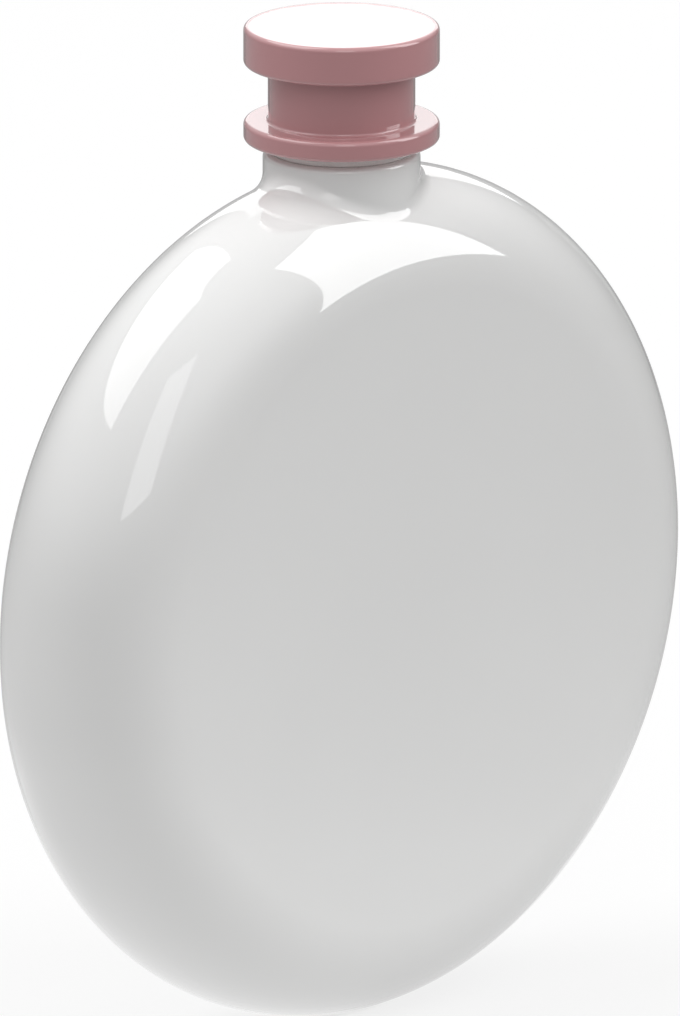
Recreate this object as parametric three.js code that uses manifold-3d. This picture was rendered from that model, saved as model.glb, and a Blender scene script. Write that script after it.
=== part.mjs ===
// A round hip flask with a spool-shaped screw cap.
// Millimetres, +Z up along the neck, front face towards -Y, lowest point of the rim at the origin.

import * as THREE from "three";
import { mergeVertices } from "three/addons/utils/BufferGeometryUtils.js";
import Module from "manifold-3d";

const wasm = await Module();
wasm.setup();

// Body: a disc on edge whose rim is a full half-round.
const bodyDiameter = 100;
const bodyThickness = 25;
const bodyWall = 0.8;

// Neck collar: a short tube that flows into the rim and is turned in at the top.
const neckDiameter = 18.1;
const neckFootRadius = 2.6;
const neckLand = 0.05;
const neckTopRadius = 0.7;
const collarWall = 0.8;
const lipThickness = 0.7;

// Threaded spout, held by its flange under the collar's lip.
const spoutDiameter = 12.4;
const spoutBore = 9.5;
const spoutHeight = 8;
const spoutRimRadius = 0.4;
const spoutFlange = 1.4;

// Sealing ring round the foot of the spout.
const gasketDiameter = 16.4;
const gasketThickness = 1.2;
const gasketEdgeRadius = 0.15;

// Cap: two discs with a waist between them.
const capDiameter = 22.5;
const capHeight = 13.5;
const capWaistDiameter = 16.9;
const capTopDisc = 4.55;
const capLowerDisc = 2.4;
const capEdgeRadius = 0.55;
const capWaistRadius = 0.35;

// Plastic liner inside the cap, and the loose disc that seals on the spout's rim.
const linerWall = 1;
const linerRoof = 1.2;
const linerMouthRadius = 0.3;
const linerInset = 0.4;
const sealThickness = 1.6;
const sealEdgeRadius = 0.2;

// Clearances.
const weldGap = 0.3;
const slipGap = 0.3;
const pressGap = 0.1;
const seatGap = 0.05;

// Fineness of the round surfaces.
const bodySegments = 64;
const bodyRimSteps = 8;
const neckSegments = 48;
const footSteps = 6;
const turnedSegments = 40;
const edgeSteps = 3;

// Sizes that follow from those above. Heights are measured from the centre of the disc.
const bodyRadius = bodyDiameter / 2;
const rimRadius = bodyThickness / 2;
const faceRadius = bodyRadius - rimRadius;
const neckRadius = neckDiameter / 2;
const spoutRadius = spoutDiameter / 2;
const gasketRadius = gasketDiameter / 2;
const capRadius = capDiameter / 2;
const waistRadius = capWaistDiameter / 2;

const collarBore = neckRadius - collarWall;
const lipHole = spoutRadius + slipGap;
const neckTop = footBallCentre(0).z + neckLand + neckTopRadius;
const spoutRim = neckTop + spoutHeight;
const capBottom = neckTop + gasketThickness + seatGap;
const linerBore = spoutRadius + slipGap;
const linerRadius = linerBore + linerWall;
const linerCeiling = spoutRim + sealThickness + seatGap;
const linerTop = linerCeiling + linerRoof;
const capBore = linerRadius + pressGap;
const capCeiling = linerTop + seatGap;

// Materials.

function paint(colour, roughness, metalness) {
  return new THREE.MeshStandardMaterial({ color: colour, roughness, metalness });
}

const whiteLacquer = paint(0xe1e1e0, 0.1, 0);
const pinkLacquer = paint(0xb58285, 0.1, 0);
const turnedSteel = paint(0xb9bbbd, 0.3, 1);
const paleSilicone = paint(0xf1efed, 0.3, 0);
const whitePlastic = paint(0xe9e8e4, 0.5, 0);

// Shape helpers.

// A profile given as corners [radius, height, rounding]; a rounded corner becomes an arc.
function roundedProfile(corners, steps) {
  const points = [];
  corners.forEach(([x, y, rounding], index) => {
    const corner = new THREE.Vector2(x, y);
    if (!rounding) {
      points.push(corner);
      return;
    }
    const before = new THREE.Vector2(...corners[index - 1]).sub(corner).normalize();
    const after = new THREE.Vector2(...corners[index + 1]).sub(corner).normalize();
    const halfAngle = Math.acos(before.dot(after)) / 2;
    const middle = before.clone().add(after).normalize();
    const centre = corner.clone().addScaledVector(middle, rounding / Math.sin(halfAngle));
    const first = corner.clone().addScaledVector(before, rounding / Math.tan(halfAngle)).sub(centre);
    const last = corner.clone().addScaledVector(after, rounding / Math.tan(halfAngle)).sub(centre);
    const sweep = Math.atan2(first.cross(last), first.dot(last));
    const origin = new THREE.Vector2();
    for (let step = 0; step <= steps; step += 1) {
      points.push(first.clone().rotateAround(origin, (sweep * step) / steps).add(centre));
    }
  });
  return points.filter((point, index) => index === 0 || point.distanceTo(points[index - 1]) > 1e-4);
}

// A profile turned about +Y. Its points run up the outside and down the inside.
function revolve(profile, segments) {
  const onAxis = profile[0].x === 0;
  const outline = onAxis ? profile : [...profile, profile[0]];
  return new THREE.LatheGeometry(outline, segments);
}

// A profile turned about the neck's axis.
function turned(corners) {
  return revolve(roundedProfile(corners, edgeSteps), turnedSegments).rotateX(Math.PI / 2);
}

// A skin through one closed section after another, all the way round the neck's axis.
function loftRound(sectionAt, segments) {
  const sections = [];
  for (let index = 0; index < segments; index += 1) {
    sections.push(sectionAt((2 * Math.PI * index) / segments));
  }
  const count = sections[0].length;
  const corners = [];
  sections.forEach((section, index) => {
    const next = sections[(index + 1) % segments];
    for (let point = 0; point < count; point += 1) {
      const above = (point + 1) % count;
      corners.push(section[point], next[point], next[above]);
      corners.push(section[point], next[above], section[above]);
    }
  });
  return new THREE.BufferGeometry().setFromPoints(corners);
}

// A closed mesh ready for adding and subtracting.
function solid(geometry) {
  const bare = geometry.clone();
  bare.deleteAttribute("normal");
  bare.deleteAttribute("uv");
  const joined = mergeVertices(bare, 1e-4);
  const index = joined.index.array;
  const triangles = [];
  for (let first = 0; first < index.length; first += 3) {
    const [a, b, c] = index.slice(first, first + 3);
    if (a !== b && b !== c && c !== a) {
      triangles.push(a, b, c);
    }
  }
  const mesh = new wasm.Mesh({
    numProp: 3,
    vertProperties: new Float32Array(joined.attributes.position.array),
    triVerts: new Uint32Array(triangles),
  });
  return new wasm.Manifold(mesh);
}

function geometryOf(body) {
  const mesh = body.getMesh();
  const geometry = new THREE.BufferGeometry();
  geometry.setAttribute("position", new THREE.BufferAttribute(mesh.vertProperties, 3));
  geometry.setIndex(new THREE.BufferAttribute(mesh.triVerts, 1));
  geometry.computeVertexNormals();
  return geometry;
}

function piece(name, geometry, material) {
  const mesh = new THREE.Mesh(geometry, material);
  mesh.name = name;
  return mesh;
}

// The blend between neck and rim is the path of a ball rolled round the foot of the neck.

// Where the ball's centre is at one angle round the neck: one ball radius off both surfaces.
function footBallCentre(angle) {
  const reach = neckRadius + neckFootRadius;
  const x = reach * Math.cos(angle);
  const y = reach * Math.sin(angle);
  const fromAxis = faceRadius + Math.sqrt((rimRadius + neckFootRadius) ** 2 - y ** 2);
  return new THREE.Vector3(x, y, Math.sqrt(fromAxis ** 2 - x ** 2));
}

// The direction straight off the rim at the place where the ball touches it.
function rimNormal(centre) {
  const rimCore = new THREE.Vector3(centre.x, 0, centre.z).setLength(faceRadius);
  return centre.clone().sub(rimCore).normalize();
}

function neckDirection(angle) {
  return new THREE.Vector3(Math.cos(angle), Math.sin(angle), 0);
}

// The arc of one skin of the foot, from the rim up to the neck.
function footArc(angle, radius) {
  const centre = footBallCentre(angle);
  const toRim = rimNormal(centre).negate();
  const toNeck = neckDirection(angle).negate();
  const sweep = toRim.angleTo(toNeck);
  const points = [];
  for (let step = 0; step <= footSteps; step += 1) {
    const share = step / footSteps;
    const direction = new THREE.Vector3()
      .addScaledVector(toRim, Math.sin((1 - share) * sweep))
      .addScaledVector(toNeck, Math.sin(share * sweep))
      .divideScalar(Math.sin(sweep));
    points.push(centre.clone().addScaledVector(direction, radius));
  }
  return points;
}

// Collar: up the outer skin, over the rounded top to the lip's hole, and down the inner skin.
function collarSection(angle) {
  const outward = neckDirection(angle);
  const top = roundedProfile(
    [
      [neckRadius, neckTop - 2 * neckTopRadius],
      [neckRadius, neckTop, neckTopRadius],
      [lipHole, neckTop],
      [lipHole, neckTop - lipThickness],
      [collarBore, neckTop - lipThickness],
    ],
    edgeSteps,
  ).slice(1);
  const lip = top.map(({ x, y }) => outward.clone().multiplyScalar(x).setZ(y));
  const innerSkin = footArc(angle, neckFootRadius + collarWall).reverse();
  return [...footArc(angle, neckFootRadius), ...lip, ...innerSkin];
}

// The hole the collar's foot is let into: its edge stands square to the rim, a weld gap away.
function mouthSection(angle) {
  const centre = footBallCentre(angle);
  const normal = rimNormal(centre);
  const foot = centre.clone().addScaledVector(normal, -neckFootRadius);
  const outward = neckDirection(angle);
  const along = outward.addScaledVector(normal, -outward.dot(normal)).normalize();
  const edge = foot.addScaledVector(along, weldGap);
  const inside = edge.clone().addScaledVector(normal, -2 * bodyWall);
  const outside = edge.clone().addScaledVector(normal, bodyWall);
  const below = new THREE.Vector3(0, 0, faceRadius);
  const above = new THREE.Vector3(0, 0, spoutRim);
  return [below, inside, outside, above];
}

// Half shells: side is -1 for the front and 1 for the back.
function halfShell(side) {
  const profile = roundedProfile(
    [
      [0, -rimRadius],
      [bodyRadius, -rimRadius, rimRadius],
      [bodyRadius, 0],
      [bodyRadius - bodyWall, 0],
      [bodyRadius - bodyWall, bodyWall - rimRadius, rimRadius - bodyWall],
      [0, bodyWall - rimRadius],
    ],
    bodyRimSteps,
  );
  const pressed = revolve(profile, bodySegments);
  if (side > 0) {
    pressed.rotateZ(Math.PI);
  }
  const mouth = loftRound(mouthSection, neckSegments);
  return geometryOf(solid(pressed).subtract(solid(mouth)));
}

function spoutGeometry() {
  const flangeTop = neckTop - lipThickness - seatGap;
  const flangeRadius = collarBore - pressGap;
  return turned([
    [spoutBore / 2, flangeTop - spoutFlange],
    [flangeRadius, flangeTop - spoutFlange],
    [flangeRadius, flangeTop],
    [spoutRadius, flangeTop],
    [spoutRadius, spoutRim, spoutRimRadius],
    [spoutBore / 2, spoutRim, spoutRimRadius],
    [spoutBore / 2, flangeTop],
  ]);
}

function gasketGeometry() {
  const gasketTop = neckTop + gasketThickness;
  return turned([
    [lipHole, neckTop],
    [gasketRadius, neckTop, gasketEdgeRadius],
    [gasketRadius, gasketTop, gasketEdgeRadius],
    [lipHole, gasketTop],
  ]);
}

function capShellGeometry() {
  const lowerTop = capBottom + capLowerDisc;
  const capTop = capBottom + capHeight;
  const waistTop = capTop - capTopDisc;
  return turned([
    [capBore, capBottom],
    [capRadius, capBottom, capEdgeRadius],
    [capRadius, lowerTop, capEdgeRadius],
    [waistRadius, lowerTop, capWaistRadius],
    [waistRadius, waistTop, capWaistRadius],
    [capRadius, waistTop, capEdgeRadius],
    [capRadius, capTop, capEdgeRadius],
    [0, capTop],
    [0, capCeiling],
    [capBore, capCeiling],
  ]);
}

function linerGeometry() {
  const linerBottom = capBottom + linerInset;
  return turned([
    [0, linerCeiling],
    [linerBore, linerCeiling],
    [linerBore, linerBottom, linerMouthRadius],
    [linerRadius, linerBottom],
    [linerRadius, linerTop],
    [0, linerTop],
  ]);
}

function sealGeometry() {
  const sealRadius = linerBore - pressGap;
  return turned([
    [0, spoutRim],
    [sealRadius, spoutRim, sealEdgeRadius],
    [sealRadius, spoutRim + sealThickness, sealEdgeRadius],
    [0, spoutRim + sealThickness],
  ]);
}

const flask = new THREE.Group();
flask.name = "hip_flask";
flask.position.z = bodyRadius;
flask.add(
  piece("front_shell", halfShell(-1), whiteLacquer),
  piece("back_shell", halfShell(1), whiteLacquer),
  piece("neck_collar", loftRound(collarSection, neckSegments), whiteLacquer),
  piece("threaded_spout", spoutGeometry(), turnedSteel),
  piece("neck_gasket", gasketGeometry(), paleSilicone),
  piece("cap_shell", capShellGeometry(), pinkLacquer),
  piece("cap_insert", linerGeometry(), whitePlastic),
  piece("cap_seal", sealGeometry(), paleSilicone),
);

const assembly = new THREE.Group();
assembly.name = "round_hip_flask";
assembly.add(flask);

export default assembly;
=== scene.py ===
"""Round hip flask with a spool-shaped screw cap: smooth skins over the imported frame, with materials, camera and
studio."""

import math

import bpy
import numpy as np
from mathutils import Matrix, Vector


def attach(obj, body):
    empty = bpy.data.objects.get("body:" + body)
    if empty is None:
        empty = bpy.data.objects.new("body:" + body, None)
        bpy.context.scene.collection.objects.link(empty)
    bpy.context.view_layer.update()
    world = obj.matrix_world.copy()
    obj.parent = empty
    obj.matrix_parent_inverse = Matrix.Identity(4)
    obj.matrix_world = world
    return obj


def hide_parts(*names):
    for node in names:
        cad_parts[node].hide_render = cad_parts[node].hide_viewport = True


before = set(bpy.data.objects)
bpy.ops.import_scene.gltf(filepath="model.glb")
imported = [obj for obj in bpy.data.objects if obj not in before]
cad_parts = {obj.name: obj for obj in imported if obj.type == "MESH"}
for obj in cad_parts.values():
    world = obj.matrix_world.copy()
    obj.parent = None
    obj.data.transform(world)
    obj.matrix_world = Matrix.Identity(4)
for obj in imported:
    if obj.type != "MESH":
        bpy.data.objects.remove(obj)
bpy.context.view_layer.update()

MM = 0.001
TAU = 2 * math.pi

# Sizes of the part, in millimetres. Heights are measured from the centre of the disc.
BODY_CENTRE = 50.0
RIM_RADIUS = 12.5
FACE_RADIUS = 37.5
BODY_WALL = 0.8
NECK_RADIUS = 9.05
FOOT_RADIUS = 2.6
NECK_LAND = 0.05
NECK_TOP_RADIUS = 0.7
COLLAR_WALL = 0.8
LIP_THICKNESS = 0.7
LIP_HOLE = 6.5
LIP_EDGE = 0.1
SPOUT_BORE = 4.75
SPOUT_SHOULDER = 6.2
SPOUT_SHOULDER_HEIGHT = 1.1
SPOUT_HEIGHT = 8.0
SPOUT_FLANGE = 1.4
SPOUT_FLANGE_RADIUS = 8.15
SPOUT_CORE = 5.7
SPOUT_RIM_EDGE = 0.3
SPOUT_FOOT_EDGE = 0.25
SPOUT_EDGE = 0.2
THREAD_DEPTH = 0.5
THREAD_LEAD = 3.0
THREAD_LIFT = 2.6
THREAD_FADE = 0.7
SPOUT_THREAD_FADE = 0.9
SPOUT_THREAD_ABOVE_SHOULDER = 0.35
SPOUT_THREAD_BELOW_RIM = 0.55
LINER_THREAD_ABOVE_MOUTH = 0.1
LINER_THREAD_ABOVE_RIM = 0.4
GASKET_RADIUS = 8.2
GASKET_THICKNESS = 1.2
GASKET_EDGE = 0.15
CAP_RADIUS = 11.25
CAP_HEIGHT = 13.5
CAP_WAIST = 8.45
CAP_TOP_DISC = 4.55
CAP_LOWER_DISC = 2.4
CAP_EDGE = 0.55
CAP_WAIST_FILLET = 0.35
CAP_BORE = 7.6
CAP_BORE_EDGE = 0.2
CAP_MOUTH_EDGE = 0.15
LINER_BORE = 6.5
LINER_RADIUS = 7.5
LINER_ROOF = 1.2
LINER_INSET = 0.4
LINER_MOUTH = 0.3
LINER_BORE_EDGE = 0.1
LINER_FOOT_EDGE = 0.15
LINER_TOP_EDGE = 0.25
SEAL_RADIUS = 6.4
SEAL_THICKNESS = 1.6
SEAL_EDGE = 0.2
SEAT_GAP = 0.05

# How finely the smooth skins are divided.
BODY_STEPS = 288
RIM_STEPS = 24
MOUTH_STEPS = 16
MOUTH_ROWS = 14
COLLAR_STEPS = 160
FOOT_ROWS = 16
WALL_ROWS = 6
TURNED_STEPS = 192
THREAD_ROWS = 72
ARC_ROWS = 8
FACE_RINGS = (1, 0.9, 0.75, 0.6, 0.45, 0.3, 0.15, 0.05, 0)
CAP_TOP_RINGS = (0.6, 0.2)

# Digits of a millimetre to which points are welded, and a length that counts as none.
WELD_DIGITS = 4
TINY = 1e-6

# How flat the thread's crest and root are, and the step over which its slope is taken.
THREAD_FLATNESS = 2.2
SLOPE_STEP = 1e-3


class Skin:
    """Collects grids of points, each with its true surface normals, into one welded mesh."""

    def __init__(self):
        self.points = []
        self.index = {}
        self.faces = []
        self.normals = []
        self.slots = []

    def vertex(self, point):
        key = tuple(round(float(value), WELD_DIGITS) + 0.0 for value in point)
        if key not in self.index:
            self.index[key] = len(self.points)
            self.points.append(point)
        return self.index[key]

    def patch(self, points, normals, slot=0):
        """Adds a grid; each face is wound so that it looks along the given normals."""
        points, normals = np.broadcast_arrays(np.asarray(points, float), np.asarray(normals, float))
        rows, columns = points.shape[:2]
        ids = [[self.vertex(points[i, j]) for j in range(columns)] for i in range(rows)]
        for i in range(rows - 1):
            for j in range(columns - 1):
                ring = []
                for a, b in ((i, j), (i, j + 1), (i + 1, j + 1), (i + 1, j)):
                    if all(ids[a][b] != known for known, _ in ring):
                        ring.append((ids[a][b], normals[a, b]))
                if len(ring) < 3:
                    continue
                first, second, third = (self.points[ring[k][0]] for k in (0, 1, 2))
                facing = np.cross(second - first, third - first)
                if len(ring) == 4:
                    fourth = self.points[ring[3][0]]
                    facing = facing + np.cross(third - first, fourth - first)
                if facing @ sum(normal for _, normal in ring) < 0:
                    ring.reverse()
                self.faces.append([known for known, _ in ring])
                self.normals.extend(normal for _, normal in ring)
                self.slots.append(slot)

    def build(self, name, materials):
        mesh = bpy.data.meshes.new(name)
        lifted = (np.array(self.points) + (0, 0, BODY_CENTRE)) * MM
        mesh.from_pydata(lifted.tolist(), [], self.faces)
        for material in materials:
            mesh.materials.append(material)
        mesh.polygons.foreach_set("use_smooth", [True] * len(self.faces))
        mesh.polygons.foreach_set("material_index", self.slots)
        mesh.update()
        mesh.normals_split_custom_set([tuple(normal) for normal in self.normals])
        piece = bpy.data.objects.new(name, mesh)
        bpy.context.scene.collection.objects.link(piece)
        return piece


# Turned pieces ------------------------------------------------------------------------------------


def unit(vector):
    return vector / np.linalg.norm(vector)


def profile_runs(corners, closed):
    """Splits a profile of corners [radius, height, rounding] into straight runs and arcs, each with its normals.
    The profile runs with the solid on its left."""
    corners = [tuple(corner) + (0,) * (3 - len(corner)) for corner in corners]
    count = len(corners)
    ends = []
    for k, (x, y, rounding) in enumerate(corners):
        corner = np.array((x, y), float)
        if not rounding:
            ends.append((corner, corner, None))
            continue
        before = unit(np.array(corners[(k - 1) % count][:2]) - corner)
        after = unit(np.array(corners[(k + 1) % count][:2]) - corner)
        half = math.acos(before @ after) / 2
        centre = corner + unit(before + after) * rounding / math.sin(half)
        first = corner + before * rounding / math.tan(half)
        last = corner + after * rounding / math.tan(half)
        ends.append((first, last, centre))
    runs = []
    for k in range(count):
        first, last, centre = ends[k]
        if centre is not None:
            start, stop = first - centre, last - centre
            sweep = math.atan2(start[0] * stop[1] - start[1] * stop[0], start @ stop)
            turns = [sweep * step / ARC_ROWS for step in range(ARC_ROWS + 1)]
            arc = np.array([(start[0] * math.cos(t) - start[1] * math.sin(t),
                             start[0] * math.sin(t) + start[1] * math.cos(t)) for t in turns])
            outward = arc / np.linalg.norm(start) * (1 if sweep > 0 else -1)
            runs.append((arc + centre, outward))
        if k + 1 < count or closed:
            line = np.array((last, ends[(k + 1) % count][0]))
            along = line[1] - line[0]
            if np.linalg.norm(along) > TINY:
                outward = unit(np.array((along[1], -along[0])))
                runs.append((line, np.array((outward, outward))))
    return runs


def turn(skin, points, normals, slot=0, steps=TURNED_STEPS):
    """Turns one run of a profile about the neck's axis."""
    angles = np.linspace(0, TAU, steps + 1)
    angles[-1] = 0
    cos, sin = np.cos(angles), np.sin(angles)
    swept = []
    for plane in (points, normals):
        radius, height = plane[:, :1], plane[:, 1:]
        swept.append(np.stack((radius * cos, radius * sin, np.repeat(height, steps + 1, 1)), 2))
    skin.patch(swept[0], swept[1], slot)


def turned(skin, corners, closed=True):
    for points, normals in profile_runs(corners, closed):
        turn(skin, points, normals)


# Body ---------------------------------------------------------------------------------------------


def rim_grid(psi, theta, side, depth):
    """Points and normals of the round rim: psi runs round the disc from the neck, theta from the seam to the
    face."""
    psi, theta = np.broadcast_arrays(psi, theta)
    normal = np.stack((np.cos(theta) * np.sin(psi), side * np.sin(theta), np.cos(theta) * np.cos(psi)), -1)
    core = FACE_RADIUS * np.stack((np.sin(psi), 0 * psi, np.cos(psi)), -1)
    return core + (RIM_RADIUS - depth) * normal, normal


def foot_ball(angle):
    """Centre of the ball that rolls round the foot of the neck, and the rim's normal where it touches."""
    reach = NECK_RADIUS + FOOT_RADIUS
    x, y = reach * math.cos(angle), reach * math.sin(angle)
    from_axis = FACE_RADIUS + math.sqrt((RIM_RADIUS + FOOT_RADIUS) ** 2 - y ** 2)
    centre = np.array((x, y, math.sqrt(from_axis ** 2 - x ** 2)))
    core = unit(np.array((centre[0], 0, centre[2]))) * FACE_RADIUS
    return centre, unit(centre - core)


NECK_TOP = foot_ball(0)[0][2] + NECK_LAND + NECK_TOP_RADIUS
SPOUT_RIM = NECK_TOP + SPOUT_HEIGHT
CAP_BOTTOM = NECK_TOP + GASKET_THICKNESS + SEAT_GAP
CAP_TOP = CAP_BOTTOM + CAP_HEIGHT
LINER_CEILING = SPOUT_RIM + SEAL_THICKNESS + SEAT_GAP
LINER_TOP = LINER_CEILING + LINER_ROOF
THREAD_START = NECK_TOP + THREAD_LIFT


def half_shell(name, side, materials):
    """One pressed half of the body, cut open round the collar's foot."""
    skin = Skin()
    mouth = TAU * MOUTH_STEPS / BODY_STEPS
    theta = np.linspace(0, math.pi / 2, RIM_STEPS + 1)
    round_body = np.linspace(0, TAU, BODY_STEPS + 1)
    beyond = round_body[MOUTH_STEPS:BODY_STEPS - MOUTH_STEPS + 1]
    across = np.linspace(-mouth, mouth, 2 * MOUTH_STEPS + 1)

    border = [(-mouth, t) for t in theta] + [(p, math.pi / 2) for p in across[1:-1]]
    border += [(mouth, t) for t in theta[::-1]]
    border = np.array(border)
    hole = []
    for k in range(len(border)):
        angle = math.pi - side * math.pi * k / (len(border) - 1)
        centre, normal = foot_ball(angle)
        hole.append((math.atan2(centre[0], centre[2]), math.asin(min(1, abs(normal[1])))))
    hole = np.array(hole)
    hole[0, 1] = hole[-1, 1] = 0
    share = np.linspace(0, 1, MOUTH_ROWS + 1)[:, None, None]
    place = hole + (border - hole) * share

    seam, lip = {}, {}
    for depth, way in ((0, 1), (BODY_WALL, -1)):
        slot = 0 if way > 0 else 1
        points, normals = rim_grid(beyond[None, :], theta[:, None], side, depth)
        skin.patch(points, normals * way, slot)
        ring = points[0]
        points, normals = rim_grid(place[..., 0], place[..., 1], side, depth)
        skin.patch(points, normals * way, slot)
        seam[way] = np.concatenate((points[:, -1], ring[1:-1], points[::-1, 0]))
        lip[way] = points[0]
        rings = np.array(FACE_RINGS)[:, None] * FACE_RADIUS
        wave = round_body[None, :]
        height = np.full((len(rings), BODY_STEPS + 1), side * (RIM_RADIUS - depth))
        skin.patch(np.stack((rings * np.sin(wave), height, rings * np.cos(wave)), 2), (0, side * way, 0), slot)
    skin.patch(np.stack((seam[1], seam[-1])), (0, -side, 0), 1)
    tangent = np.gradient(lip[1], axis=0)
    facing = np.cross(tangent, lip[1] - lip[-1])
    facing /= np.linalg.norm(facing, axis=1)[:, None]
    inward = -np.sum(facing * lip[1] * (1, 1, 0), axis=1)
    facing *= np.sign(inward)[:, None]
    skin.patch(np.stack((lip[1], lip[-1])), np.stack((facing, facing)), 1)
    return skin.build(name, materials)


def neck_collar(name, materials):
    """The neck: a saddle-shaped rolled-ball foot, a straight wall, a rounded top and a lip turned in."""
    skin = Skin()
    outer, inner, wall, sill, below = [], [], [], [], []
    bore = NECK_RADIUS - COLLAR_WALL
    for k in range(COLLAR_STEPS + 1):
        angle = TAU * (k % COLLAR_STEPS) / COLLAR_STEPS
        centre, normal = foot_ball(angle)
        radial = np.array((math.cos(angle), math.sin(angle), 0))
        sweep = math.acos(normal @ radial)
        share = np.linspace(0, 1, FOOT_ROWS + 1)[:, None]
        arc = (np.sin((1 - share) * sweep) * -normal + np.sin(share * sweep) * -radial) / math.sin(sweep)
        outer.append((centre + FOOT_RADIUS * arc, -arc))
        inner.append((centre + (FOOT_RADIUS + COLLAR_WALL) * arc, arc))
        below.append((radial - math.cos(sweep) * normal) / math.sin(sweep))
        rows = np.linspace(0, 1, WALL_ROWS + 1)[:, None]
        tops = (NECK_TOP - NECK_TOP_RADIUS, NECK_TOP - LIP_THICKNESS)
        for store, radius, top, way in ((wall, NECK_RADIUS, tops[0], 1), (sill, bore, tops[1], -1)):
            height = centre[2] + (top - centre[2]) * rows
            facing = np.repeat(radial[None] * way, WALL_ROWS + 1, 0)
            store.append((radial * radius + (0, 0, 1) * height, facing))
    for grid, slot in ((outer, 0), (wall, 0), (inner, 1), (sill, 1)):
        skin.patch(np.array([g[0] for g in grid]), np.array([g[1] for g in grid]), slot)
    edge = np.array([(outer[k][0][0], inner[k][0][0]) for k in range(COLLAR_STEPS + 1)])
    skin.patch(edge, np.stack((below, below), 1), 1)
    runs = profile_runs([
        (NECK_RADIUS, NECK_TOP - 2 * NECK_TOP_RADIUS),
        (NECK_RADIUS, NECK_TOP, NECK_TOP_RADIUS),
        (LIP_HOLE, NECK_TOP, LIP_EDGE),
        (LIP_HOLE, NECK_TOP - LIP_THICKNESS),
        (bore, NECK_TOP - LIP_THICKNESS),
    ], closed=False)
    for points, normals in runs[1:]:
        turn(skin, points, normals, 0, COLLAR_STEPS)
    return skin.build(name, materials)


# Threads ------------------------------------------------------------------------------------------


def thread_height(angle, height, start, fade):
    """Share of the thread's depth at an angle and height; the thread is right-handed and dies away at both
    ends."""
    crest = np.cos(TAU * (height - start) / THREAD_LEAD - angle)
    form = 0.5 + 0.5 * np.tanh(THREAD_FLATNESS * crest) / math.tanh(THREAD_FLATNESS)
    low, low_full, high_full, high = fade
    ease = np.clip((height - low) / (low_full - low), 0, 1)
    ease = ease * np.clip((high - height) / (high - high_full), 0, 1)
    return form * ease * ease * (3 - 2 * ease)


def threaded_wall(skin, radius, depth, start, fade, way):
    """A cylinder with a thread on it, from the first to the last height of the fade; depth is negative where the
    thread stands inwards."""
    angles = np.linspace(0, TAU, TURNED_STEPS + 1)[None, :]
    height = np.linspace(fade[0], fade[-1], THREAD_ROWS + 1)[:, None]

    def surface(angle, level):
        reach = radius + depth * thread_height(angle, level, start, fade)
        return np.stack((reach * np.cos(angle), reach * np.sin(angle), level + 0 * angle), -1)

    points = surface(angles, height)
    points[:, -1] = points[:, 0]
    across = surface(angles + SLOPE_STEP, height) - surface(angles - SLOPE_STEP, height)
    upward = surface(angles, height + SLOPE_STEP) - surface(angles, height - SLOPE_STEP)
    normals = np.cross(across, upward)
    normals /= np.linalg.norm(normals, axis=2)[..., None]
    normals[:, -1] = normals[:, 0]
    skin.patch(points, normals * way)


def threaded_spout(name, materials):
    skin = Skin()
    flange_top = NECK_TOP - LIP_THICKNESS - SEAT_GAP
    shoulder = NECK_TOP + SPOUT_SHOULDER_HEIGHT
    low, high = shoulder + SPOUT_THREAD_ABOVE_SHOULDER, SPOUT_RIM - SPOUT_THREAD_BELOW_RIM
    turned(skin, [
        (SPOUT_CORE, high),
        (SPOUT_CORE, SPOUT_RIM, SPOUT_RIM_EDGE),
        (SPOUT_BORE, SPOUT_RIM, SPOUT_RIM_EDGE),
        (SPOUT_BORE, flange_top - SPOUT_FLANGE, SPOUT_FOOT_EDGE),
        (SPOUT_FLANGE_RADIUS, flange_top - SPOUT_FLANGE, SPOUT_EDGE),
        (SPOUT_FLANGE_RADIUS, flange_top),
        (SPOUT_SHOULDER, flange_top),
        (SPOUT_SHOULDER, shoulder, SPOUT_EDGE),
        (SPOUT_CORE, shoulder, SPOUT_EDGE),
        (SPOUT_CORE, low),
    ], closed=False)
    fade = (low, low + THREAD_FADE, high - SPOUT_THREAD_FADE, high)
    threaded_wall(skin, SPOUT_CORE, THREAD_DEPTH, THREAD_START, fade, 1)
    return skin.build(name, materials)


def cap_liner(name, materials):
    skin = Skin()
    bottom = CAP_BOTTOM + LINER_INSET
    low = bottom + LINER_MOUTH + LINER_THREAD_ABOVE_MOUTH
    high = SPOUT_RIM + LINER_THREAD_ABOVE_RIM
    turned(skin, [
        (0, LINER_CEILING),
        (LINER_BORE, LINER_CEILING, LINER_BORE_EDGE),
        (LINER_BORE, high),
    ], closed=False)
    turned(skin, [
        (LINER_BORE, low),
        (LINER_BORE, bottom, LINER_MOUTH),
        (LINER_RADIUS, bottom, LINER_FOOT_EDGE),
        (LINER_RADIUS, LINER_TOP, LINER_TOP_EDGE),
        (0, LINER_TOP),
    ], closed=False)
    fade = (low, low + THREAD_FADE, high - THREAD_FADE, high)
    threaded_wall(skin, LINER_BORE, -THREAD_DEPTH, THREAD_START + THREAD_LEAD / 2, fade, -1)
    return skin.build(name, materials)


# Gasket, cap and seal -----------------------------------------------------------------------------


def neck_gasket(name, materials):
    skin = Skin()
    top = NECK_TOP + GASKET_THICKNESS
    turned(skin, [
        (LIP_HOLE, NECK_TOP),
        (GASKET_RADIUS, NECK_TOP, GASKET_EDGE),
        (GASKET_RADIUS, top, GASKET_EDGE),
        (LIP_HOLE, top, GASKET_EDGE),
    ])
    return skin.build(name, materials)


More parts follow.
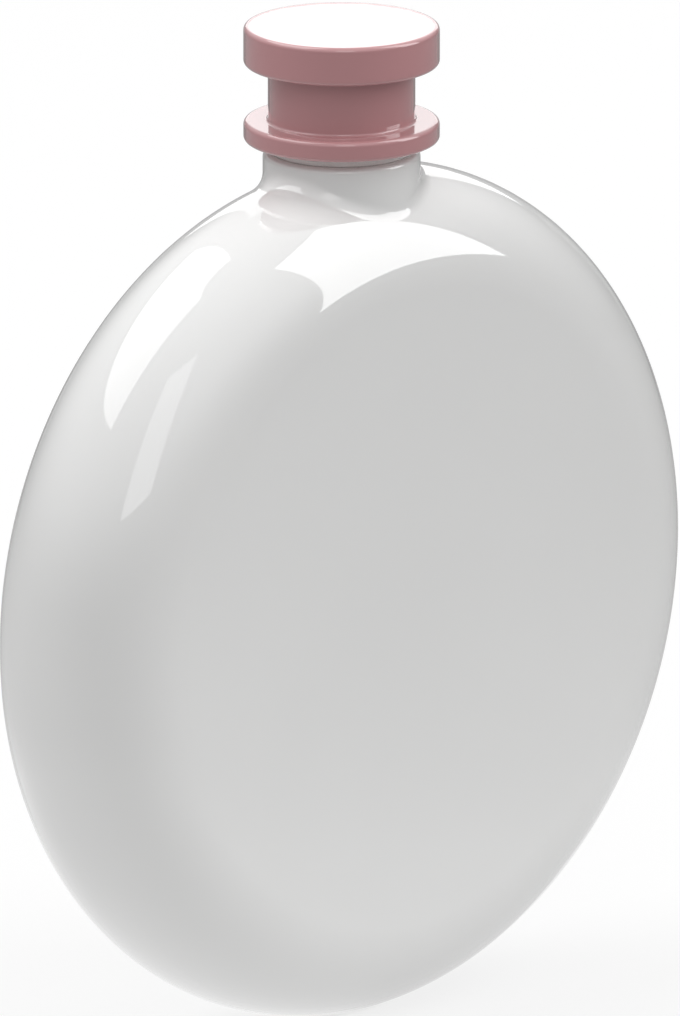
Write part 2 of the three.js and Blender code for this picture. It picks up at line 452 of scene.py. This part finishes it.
def cap_spool(name, materials):
    skin = Skin()
    lower_top = CAP_BOTTOM + CAP_LOWER_DISC
    waist_top = CAP_TOP - CAP_TOP_DISC
    ceiling = LINER_TOP + SEAT_GAP
    profile = profile_runs([
        (CAP_BORE, CAP_BOTTOM, CAP_MOUTH_EDGE),
        (CAP_RADIUS, CAP_BOTTOM, CAP_EDGE),
        (CAP_RADIUS, lower_top, CAP_EDGE),
        (CAP_WAIST, lower_top, CAP_WAIST_FILLET),
        (CAP_WAIST, waist_top, CAP_WAIST_FILLET),
        (CAP_RADIUS, waist_top, CAP_EDGE),
        (CAP_RADIUS, CAP_TOP, CAP_EDGE),
        *((CAP_RADIUS * share, CAP_TOP) for share in CAP_TOP_RINGS),
        (0, CAP_TOP),
        (0, ceiling),
        (CAP_BORE, ceiling, CAP_BORE_EDGE),
    ], closed=True)
    for points, normals in profile:
        radius, height = points.max(axis=0)
        lined = radius <= CAP_BORE + TINY and height <= ceiling + TINY
        turn(skin, points, normals, 1 if lined else 0)
    return skin.build(name, materials)


def seal_disc(name, materials):
    skin = Skin()
    top = SPOUT_RIM + SEAL_THICKNESS
    turned(skin, [
        (0, SPOUT_RIM),
        (SEAL_RADIUS, SPOUT_RIM, SEAL_EDGE),
        (SEAL_RADIUS, top, SEAL_EDGE),
        (0, top),
    ], closed=False)
    return skin.build(name, materials)


# Materials ----------------------------------------------------------------------------------------


class Nodes:
    """A node tree: what is given for an input is set on it, or linked to it if it is another node's output."""

    def __init__(self, tree):
        self.tree = tree

    def add(self, kind, inputs, **settings):
        node = self.tree.nodes.new(kind)
        for key, value in settings.items():
            setattr(node, key, value)
        for key, value in inputs.items():
            if isinstance(value, bpy.types.NodeSocket):
                self.tree.links.new(value, node.inputs[key])
            else:
                node.inputs[key].default_value = value
        return node

    def math(self, operation, *inputs):
        return self.add("ShaderNodeMath", dict(enumerate(inputs)), operation=operation).outputs[0]

    def vector(self, operation, *inputs):
        return self.add("ShaderNodeVectorMath", dict(enumerate(inputs)), operation=operation)

    def ramp(self, share, stops):
        """A colour ramp through stops of position and colour with alpha."""
        ramp = self.add("ShaderNodeValToRGB", {"Fac": share})
        elements = ramp.color_ramp.elements
        while len(elements) < len(stops):
            elements.new(0.5)
        for element, (position, colour) in zip(elements, stops):
            element.position = position
            element.color = colour
        return ramp

    def seen(self):
        """1 for what the camera sees straight, in gloss or through something clear."""
        path = self.add("ShaderNodeLightPath", {})
        seen = path.outputs["Is Camera Ray"]
        for other in ("Is Glossy Ray", "Is Transmission Ray"):
            seen = self.math("MAXIMUM", seen, path.outputs[other])
        return seen


class Shader(Nodes):
    """A material whose detail comes from nodes on the object's own coordinates."""

    def __init__(self, name):
        self.material = bpy.data.materials.new(name)
        self.material.use_nodes = True
        super().__init__(self.material.node_tree)
        self.tree.nodes.clear()
        self.output = self.tree.nodes.new("ShaderNodeOutputMaterial")

    def coordinates(self):
        return self.add("ShaderNodeTexCoord", {}).outputs["Object"]

    def place(self, scale=(1, 1, 1)):
        return self.add("ShaderNodeMapping", {"Vector": self.coordinates(), "Scale": scale}).outputs["Vector"]

    def noise(self, scale, detail, stretch=(1, 1, 1)):
        inputs = {"Vector": self.place(stretch), "Scale": scale, "Detail": detail}
        return self.add("ShaderNodeTexNoise", inputs).outputs["Fac"]

    def spread(self, value, low, high, start=0.3, stop=0.7):
        """Spreads a range of the value, or else what a noise mostly keeps to, over low to high."""
        inputs = {"Value": value, "From Min": start, "From Max": stop, "To Min": low, "To Max": high}
        return self.add("ShaderNodeMapRange", inputs).outputs["Result"]

    def blend(self, value, first, second, start=0.3, stop=0.7):
        return self.ramp(value, [(start, (*first, 1)), (stop, (*second, 1))]).outputs["Color"]

    def bump(self, height, distance):
        inputs = {"Height": height, "Distance": distance, "Strength": 1.0}
        return self.add("ShaderNodeBump", inputs).outputs["Normal"]

    def finish(self, node):
        self.tree.links.new(node.outputs[0], self.output.inputs["Surface"])
        return self.material

    def surface(self, **inputs):
        named = {key.replace("_", " ").title().replace("Ior", "IOR"): value for key, value in inputs.items()}
        return self.finish(self.add("ShaderNodeBsdfPrincipled", named))


def lacquer(name, dark, light, rough=0.045):
    """Sprayed colour under a clear coat: a faint drift of shade, slight orange peel and a soft unevenness of the
    gloss."""
    shader = Shader(name)
    drift = shader.noise(scale=28.0, detail=3.0)
    peel = shader.bump(shader.noise(scale=420.0, detail=1.0), distance=4e-7)
    haze = shader.noise(scale=90.0, detail=4.0)
    return shader.surface(
        base_color=shader.blend(drift, dark, light),
        roughness=shader.spread(haze, rough * 0.85, rough * 1.2),
        ior=1.5,
        coat_weight=1.0,
        coat_roughness=0.01,
        coat_ior=1.5,
        normal=peel,
        coat_normal=peel,
    )


def bare_steel(name):
    """Inside of the pressings: dull, slightly streaked steel."""
    shader = Shader(name)
    streak = shader.noise(scale=160.0, detail=5.0, stretch=(1, 1, 6))
    cloud = shader.noise(scale=60.0, detail=4.0)
    return shader.surface(
        base_color=shader.blend(cloud, (0.46, 0.465, 0.47), (0.56, 0.56, 0.565)),
        metallic=1.0,
        roughness=shader.spread(streak, 0.32, 0.5),
        normal=shader.bump(streak, distance=4e-6),
    )


def turned_steel(name):
    """Lathe-turned steel: fine rings about the neck's axis."""
    shader = Shader(name)
    rings = shader.noise(scale=900.0, detail=3.0, stretch=(0.02, 0.02, 1))
    cloud = shader.noise(scale=300.0, detail=3.0)
    return shader.surface(
        base_color=shader.blend(cloud, (0.5, 0.505, 0.51), (0.62, 0.62, 0.625)),
        metallic=1.0,
        roughness=shader.spread(rings, 0.2, 0.34),
        normal=shader.bump(rings, distance=3e-6),
    )


def silicone(name):
    """Moulded silicone: soft satin skin with a dusting of fine specks."""
    shader = Shader(name)
    cloud = shader.noise(scale=350.0, detail=3.0)
    skin = shader.noise(scale=4200.0, detail=2.0)
    return shader.surface(
        base_color=shader.blend(cloud, (0.86, 0.835, 0.82), (0.9, 0.88, 0.87)),
        roughness=shader.spread(skin, 0.24, 0.34),
        ior=1.41,
        normal=shader.bump(skin, distance=3e-6),
    )


def moulded_plastic(name):
    """Moulded plastic with a fine spark-eroded grain."""
    shader = Shader(name)
    cloud = shader.noise(scale=220.0, detail=3.0)
    grain = shader.noise(scale=5200.0, detail=3.0)
    return shader.surface(
        base_color=shader.blend(cloud, (0.78, 0.77, 0.735), (0.83, 0.82, 0.79)),
        roughness=shader.spread(grain, 0.42, 0.58),
        ior=1.49,
        normal=shader.bump(grain, distance=5e-6),
    )


def plain_floor(name, dark, light, white=0.75):
    """Matt pale floor that looks partly white by itself, so that the flask's shadow on it stays faint."""
    shader = Shader(name)
    shade = shader.blend(shader.noise(scale=3.0, detail=4.0), dark, light)
    matt = shader.add("ShaderNodeBsdfDiffuse", {"Color": shade})
    lit = shader.add("ShaderNodeEmission", {"Color": (1, 1, 1, 1), "Strength": 1.0})
    share = shader.math("MULTIPLY", shader.seen(), white)
    return shader.finish(shader.add("ShaderNodeMixShader", {0: share, 1: matt.outputs[0], 2: lit.outputs[0]}))


def glow(name, strength):
    shader = Shader(name)
    return shader.finish(shader.add("ShaderNodeEmission", {"Color": (1, 1, 1, 1), "Strength": strength}))


# Pieces -------------------------------------------------------------------------------------------

white = lacquer("white_lacquer_gloss", (0.74, 0.74, 0.735), (0.76, 0.76, 0.755))
pink = lacquer("pink_lacquer_gloss", (0.45, 0.219, 0.229), (0.47, 0.231, 0.241))
inside = bare_steel("bare_pressed_steel")
steel = turned_steel("turned_spout_steel")
rubber = silicone("moulded_silicone")
plastic = moulded_plastic("moulded_liner_plastic")

pieces = [
    (half_shell("shell_front", -1, (white, inside)), "flask", "front_shell", "white_lacquer"),
    (half_shell("shell_back", 1, (white, inside)), "flask", "back_shell", "white_lacquer"),
    (neck_collar("collar", (white, inside)), "flask", "neck_collar", "white_lacquer"),
    (threaded_spout("spout", (steel,)), "flask", "threaded_spout", "turned_steel"),
    (neck_gasket("gasket", (rubber,)), "flask", "neck_gasket", "pale_silicone"),
    (cap_spool("cap_spool", (pink, inside)), "cap", "cap_shell", "pink_lacquer"),
    (cap_liner("cap_liner", (plastic,)), "cap", "cap_insert", "white_plastic"),
    (seal_disc("seal_disc", (rubber,)), "seal", "cap_seal", "pale_silicone"),
]
for piece, body, node, slot in pieces:
    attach(piece, body)
    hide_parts(node)

# Camera -------------------------------------------------------------------------------------------

# The photo's view, its scale in pixels, and where it looks beside the middle of the body, in millimetres.
VIEW_AZIMUTH = -45
VIEW_ELEVATION = 15
PHOTO_HEIGHT = 1016
PIXELS_PER_MM = 8.692
AIM_UP = 9.235
AIM_RIGHT = -0.18
MIDDLE = Vector((0, 0, BODY_CENTRE * MM))


def direction(azimuth, elevation):
    """Unit vector towards a place round the flask: azimuth 0 is in front of the face, positive to its right."""
    a, e = math.radians(azimuth), math.radians(elevation)
    return Vector((math.sin(a) * math.cos(e), -math.cos(a) * math.cos(e), math.sin(e)))


back = direction(VIEW_AZIMUTH, VIEW_ELEVATION)
right = Vector((0, 0, 1)).cross(back).normalized()
up = back.cross(right)
camera_data = bpy.data.cameras.new("camera")
camera_data.lens = 1000
camera_data.sensor_width = 36
camera_data.clip_end = 50
camera = bpy.data.objects.new("camera", camera_data)
bpy.context.scene.collection.objects.link(camera)
distance = PHOTO_HEIGHT * camera_data.lens / (camera_data.sensor_width * PIXELS_PER_MM) * MM
eye = MIDDLE + up * AIM_UP * MM + right * AIM_RIGHT * MM + back * distance
camera.matrix_world = Matrix.Translation(eye) @ Matrix((right, up, back)).transposed().to_4x4()
bpy.context.scene.camera = camera
bpy.context.scene.view_settings.view_transform = "Standard"

# Studio -------------------------------------------------------------------------------------------

# Lengths of the set, in metres.
PANEL_REACH = 2.0
SET_REACH = 2.2
SET_HEIGHT = 1.6
SET_HUB = 0.0005
CARD_LIFT = 0.0004
FAN_LIFT = 0.0008
FAN_REACH = 2.1
FAN_RISE = 0.3
REFLECTOR_REACH = 0.2
REFLECTOR_RISE = 0.02
REFLECTOR_SIDE = 0.005
FLOOR_REACH = 6.0

# Sides of the round things in the set, and the azimuth opposite the camera.
SET_SIDES = 96
BEHIND = VIEW_AZIMUTH + 180


def sheet(rows):
    """Points and faces of a sheet through rows of points."""
    columns = len(rows[0])
    faces = []
    for i in range(len(rows) - 1):
        for j in range(columns - 1):
            k = i * columns + j
            faces.append((k, k + 1, k + columns + 1, k + columns))
    return [point for row in rows for point in row], faces


def on_stage(name, points, faces, material, unseen_by=("camera",)):
    """Puts a mesh on the stage, out of sight of the kinds of ray that are named."""
    mesh = bpy.data.meshes.new(name)
    mesh.from_pydata(points, [], faces)
    mesh.materials.append(material)
    thing = bpy.data.objects.new(name, mesh)
    bpy.context.scene.collection.objects.link(thing)
    for ray in unseen_by:
        setattr(thing, "visible_" + ray, False)


def grey(level, solid=1):
    return (level, level, level, solid)


def panel(name, low, high, low_azimuths, high_azimuths, strength, steps=16):
    """A curved light panel between two elevations; its sides run between the azimuths given for its two ends."""
    rows = []
    for i in range(steps + 1):
        rise = i / steps
        first, last = (a + (b - a) * rise for a, b in zip(low_azimuths, high_azimuths))
        azimuths = [first + (last - first) * j / steps for j in range(steps + 1)]
        elevation = low + (high - low) * rise
        rows.append([MIDDLE + PANEL_REACH * direction(azimuth, elevation) for azimuth in azimuths])
    on_stage(name, *sheet(rows), glow(name + "_glow", strength))


panel("key_panel", 9.4, 64.6, (31.2, 58.2), (22, 62), strength=3.7)
panel("rear_left_panel", 42.5, 80, (-195, -99), (-195, -99), strength=2.95)
panel("side_strip", 18.7, 54.5, (-52, -28), (-52, -28), strength=2.0)
panel("back_panel", 8, 50, (115.5, 150), (115.5, 150), strength=1.55)


def ring(reach, height):
    """Points of a ring round the set, back to the first one."""
    angles = [TAU * k / SET_SIDES for k in range(SET_SIDES + 1)]
    return [(reach * math.cos(t), reach * math.sin(t), height) for t in angles]


def turned_card(name, profile, stops, lean, unseen_by):
    """A card round the set that the camera doesn't see. Its stops give, by the angle at which the middle of the
    body sees it, how bright it is and how solid; it is brighter on the side it leans to."""
    shader = Shader(name + "_shade")
    spot = shader.add("ShaderNodeSeparateXYZ", {"Vector": shader.coordinates()}).outputs
    level = shader.add("ShaderNodeCombineXYZ", {"X": spot["X"], "Y": spot["Y"]}).outputs["Vector"]
    reach = shader.vector("LENGTH", level).outputs["Value"]
    slope = shader.math("ARCTAN2", shader.math("SUBTRACT", spot["Z"], MIDDLE.z), reach)
    share = shader.spread(slope, 0, 1, -math.pi / 2, math.pi / 2)
    ramp = shader.ramp(share, [((angle + 90) / 180, grey(bright, solid)) for angle, bright, solid in stops])
    outward = shader.vector("NORMALIZE", level).outputs["Vector"]
    tilt = shader.vector("DOT_PRODUCT", outward, (*lean, 0)).outputs["Value"]
    strength = shader.math("ADD", tilt, 1.0)
    lit = shader.add("ShaderNodeEmission", {"Color": ramp.outputs["Color"], "Strength": strength})
    clear = shader.add("ShaderNodeBsdfTransparent", {})
    front = shader.math("SUBTRACT", 1.0, shader.add("ShaderNodeNewGeometry", {}).outputs["Backfacing"])
    solid = shader.math("MULTIPLY", ramp.outputs["Alpha"], front)
    mix = shader.add("ShaderNodeMixShader", {0: solid, 1: clear.outputs[0], 2: lit.outputs[0]})
    on_stage(name, *sheet([ring(*corner) for corner in profile]), shader.finish(mix), unseen_by)


turned_card(
    "bounce_card",
    [(SET_REACH, CARD_LIFT), (SET_HUB, CARD_LIFT)],
    [(-90, 0.87, 1), (-45, 0.81, 1), (-30, 0.81, 1), (-22, 0.6, 1),
     (-15, 0.515, 1), (-9, 0.4, 1), (-1, 0.27, 1)],
    lean=(-0.08, 0.125),
    unseen_by=("camera", "shadow"),
)
turned_card(
    "horizon_flag",
    [(SET_REACH, SET_HEIGHT), (SET_REACH, CARD_LIFT)],
    [(-1, 0.25, 1), (8, 0.345, 1), (20, 0.64, 1), (34, 0.77, 0)],
    lean=(-0.22, 0.095),
    unseen_by=("camera",),
)


def fan_card(name, spread, stops, steps=24):
    """A card behind the flask that only the gloss of its outline shows: it fans out over the floor from under
    the disc and stands up at its far edge. Its stops give how bright it is by the distance from the flask."""
    rows = []
    for k in range(steps + 1):
        over = 1 - 2 * k / steps
        foot = Vector((-over * BODY_CENTRE * MM, 0, FAN_LIFT))
        edge = foot + FAN_REACH * direction(BEHIND + over * spread, 0)
        rows.append((foot, edge, edge + Vector((0, 0, FAN_RISE))))
    shader = Shader(name + "_shade")
    away = shader.vector("LENGTH", shader.coordinates()).outputs["Value"]
    share = shader.spread(away, 0, 1, 0, FAN_REACH)
    ramp = shader.ramp(share, [(reach / FAN_REACH, grey(bright)) for reach, bright in stops])
    lit = shader.add("ShaderNodeEmission", {"Color": ramp.outputs["Color"], "Strength": 1.0})
    on_stage(name, *sheet(rows), shader.finish(lit), ("camera", "shadow", "diffuse"))


fan_card(
    "outline_card",
    spread=24,
    stops=[(0, 0.93), (0.055, 0.91), (0.12, 0.6), (0.2, 0.45),
           (0.36, 0.36), (0.42, 0.26), (0.55, 0.34), (1, 0.42)],
)

cap_top = (BODY_CENTRE + CAP_TOP) * MM
behind, beside = direction(BEHIND, 0), direction(BEHIND - 90, 0)


def seen_in_top(shift, steps=32):
    """Where the camera sees the back half of the flat top's edge mirrored, on an upright plane behind the cap;
    the shift is in millimetres towards the back."""
    ghost = Vector((eye.x, eye.y, 2 * cap_top - eye.z))
    edge = (CAP_RADIUS - CAP_EDGE) * MM
    points = []
    for k in range(steps + 1):
        turn_angle = math.pi * (k / steps - 0.5)
        spot = beside * edge * math.sin(turn_angle) + behind * (edge * math.cos(turn_angle) + shift * MM)
        ray = spot + Vector((0, 0, cap_top)) - ghost
        points.append(ghost + ray * ((REFLECTOR_REACH - ghost.dot(behind)) / ray.dot(behind)))
    return points


def upright_card(name, lower, upper, strength):
    """A narrow upright card between two lines of points, for the gloss of the cap's flat top."""
    on_stage(name, *sheet((lower, upper)), glow(name + "_glow", strength), ("camera", "shadow"))


# A small light gives the top its glare, and a duller strip below it the line along the top's far edge. The line
# lies between these two shifts.
LINE_FRONT = -0.6
LINE_BACK = 1.5
line = seen_in_top(LINE_FRONT)
foot = [line[0] - beside * REFLECTOR_SIDE, *line, line[-1] + beside * REFLECTOR_SIDE]
crown = cap_top + REFLECTOR_REACH * math.tan(math.radians(VIEW_ELEVATION)) + REFLECTOR_RISE
upright_card("cap_reflector", foot, [Vector((point.x, point.y, crown)) for point in foot], strength=2.05)
upright_card("cap_edge_flag", seen_in_top(LINE_BACK), line, strength=1.1)

pale = plain_floor("pale_floor", (0.735, 0.735, 0.735), (0.745, 0.745, 0.745))
on_stage("floor", ring(FLOOR_REACH, 0)[:-1], [tuple(range(SET_SIDES))], pale, unseen_by=())


def pale_sky(name, stops, lean, scale=1.6):
    """A world whose stops give its brightness by elevation; it leans to one side, and what is seen of it is
    white. The scale keeps the ramp's colours below 1."""
    world = bpy.data.worlds.new(name)
    world.use_nodes = True
    sky = Nodes(world.node_tree)
    toward = sky.add("ShaderNodeTexCoord", {}).outputs["Generated"]
    height = sky.add("ShaderNodeSeparateXYZ", {"Vector": toward}).outputs["Z"]
    share = sky.add("ShaderNodeMapRange", {"Value": height, "From Min": -1}).outputs["Result"]
    heights = [math.sin(math.radians(elevation)) for elevation, _ in stops]
    ramp = sky.ramp(share, [((z + 1) / 2, grey(bright / scale)) for z, (_, bright) in zip(heights, stops)])
    tilt = sky.vector("DOT_PRODUCT", toward, (*lean, 0)).outputs["Value"]
    level = sky.math("MULTIPLY_ADD", ramp.outputs["Color"], scale, tilt)
    shown = sky.math("MULTIPLY_ADD", sky.seen(), sky.math("SUBTRACT", 1.0, level), level)
    background = sky.tree.nodes["Background"].inputs
    background["Color"].default_value = (1, 1, 1, 1)
    sky.tree.links.new(shown, background["Strength"])
    return world


bpy.context.scene.world = pale_sky(
    "studio",
    [(15, 0.95), (22, 0.79), (34, 0.78), (52, 0.67), (90, 1.135)],
    lean=(-0.343, 0.156),
)
